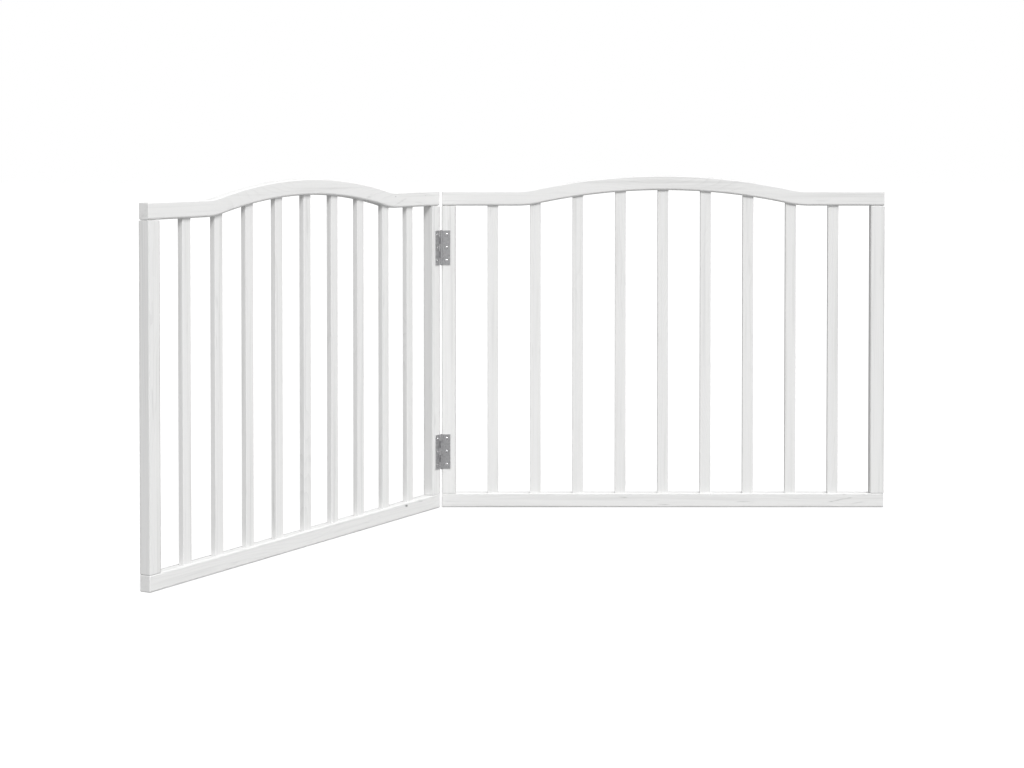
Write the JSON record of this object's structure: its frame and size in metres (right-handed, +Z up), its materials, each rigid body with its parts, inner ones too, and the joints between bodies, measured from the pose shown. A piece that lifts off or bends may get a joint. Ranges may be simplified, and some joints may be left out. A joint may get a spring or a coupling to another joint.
{
  "type": "pet gate",
  "caption": "Free-standing folding pet gate: slatted wooden panels with arched top rails, joined edge to edge by steel butt hinges.",
  "frame": {"origin": "on the floor, in the middle of the box that the gate takes up as it stands with its left panel swung 60 degrees forward", "axes": "+X along the right panel, away from the hinges; -Y is the front, the way the left panel swings; +Z up"},
  "size_m": [1.2182, 0.7126, 0.6],
  "materials": {
    "whitewashed_wood": "semi-opaque white wash, smooth, satin, grey grain showing through",
    "dowel_wood": "bare turned hardwood, matt",
    "hinge_steel": "zinc-plated rolled sheet, satin",
    "pin_steel": "drawn wire with peened ends, satin",
    "screw_steel": "bright zinc plate"
  },
  "bodies": {
    "right_panel": {"lower_hinge_pin": "pin_steel", "lower_hinge_right_leaf": "hinge_steel", "lower_hinge_right_screw_1": "screw_steel", "lower_hinge_right_screw_2": "screw_steel", "lower_hinge_right_screw_3": "screw_steel", "right_bottom_rail": "whitewashed_wood", "right_end_post": "whitewashed_wood", "right_end_post_bottom_dowel": "dowel_wood", "right_end_post_top_dowel": "dowel_wood", "right_hinge_post": "whitewashed_wood", "right_hinge_post_bottom_dowel": "dowel_wood", "right_hinge_post_top_dowel": "dowel_wood", "right_slat_1": "whitewashed_wood", "right_slat_2": "whitewashed_wood", "right_slat_3": "whitewashed_wood", "right_slat_4": "whitewashed_wood", "right_slat_5": "whitewashed_wood", "right_slat_6": "whitewashed_wood", "right_slat_7": "whitewashed_wood", "right_slat_8": "whitewashed_wood", "right_slat_9": "whitewashed_wood", "right_top_rail": "whitewashed_wood", "upper_hinge_pin": "pin_steel", "upper_hinge_right_leaf": "hinge_steel", "upper_hinge_right_screw_1": "screw_steel", "upper_hinge_right_screw_2": "screw_steel", "upper_hinge_right_screw_3": "screw_steel"},
    "left_panel": {"left_bottom_rail": "whitewashed_wood", "left_end_post": "whitewashed_wood", "left_end_post_bottom_dowel": "dowel_wood", "left_end_post_top_dowel": "dowel_wood", "left_hinge_post": "whitewashed_wood", "left_hinge_post_bottom_dowel": "dowel_wood", "left_hinge_post_top_dowel": "dowel_wood", "left_slat_1": "whitewashed_wood", "left_slat_2": "whitewashed_wood", "left_slat_3": "whitewashed_wood", "left_slat_4": "whitewashed_wood", "left_slat_5": "whitewashed_wood", "left_slat_6": "whitewashed_wood", "left_slat_7": "whitewashed_wood", "left_slat_8": "whitewashed_wood", "left_slat_9": "whitewashed_wood", "left_top_rail": "whitewashed_wood", "lower_hinge_left_leaf": "hinge_steel", "lower_hinge_left_screw_1": "screw_steel", "lower_hinge_left_screw_2": "screw_steel", "lower_hinge_left_screw_3": "screw_steel", "upper_hinge_left_leaf": "hinge_steel", "upper_hinge_left_screw_1": "screw_steel", "upper_hinge_left_screw_2": "screw_steel", "upper_hinge_left_screw_3": "screw_steel"}
  },
  "joints": [
    {"name": "fold", "type": "hinge", "parent": "right_panel", "child": "left_panel", "pos_m": [-0.19087, 0.33461, 0.286], "axis": [0, 0, 1], "range_deg": [-62, 120]}
  ]
}
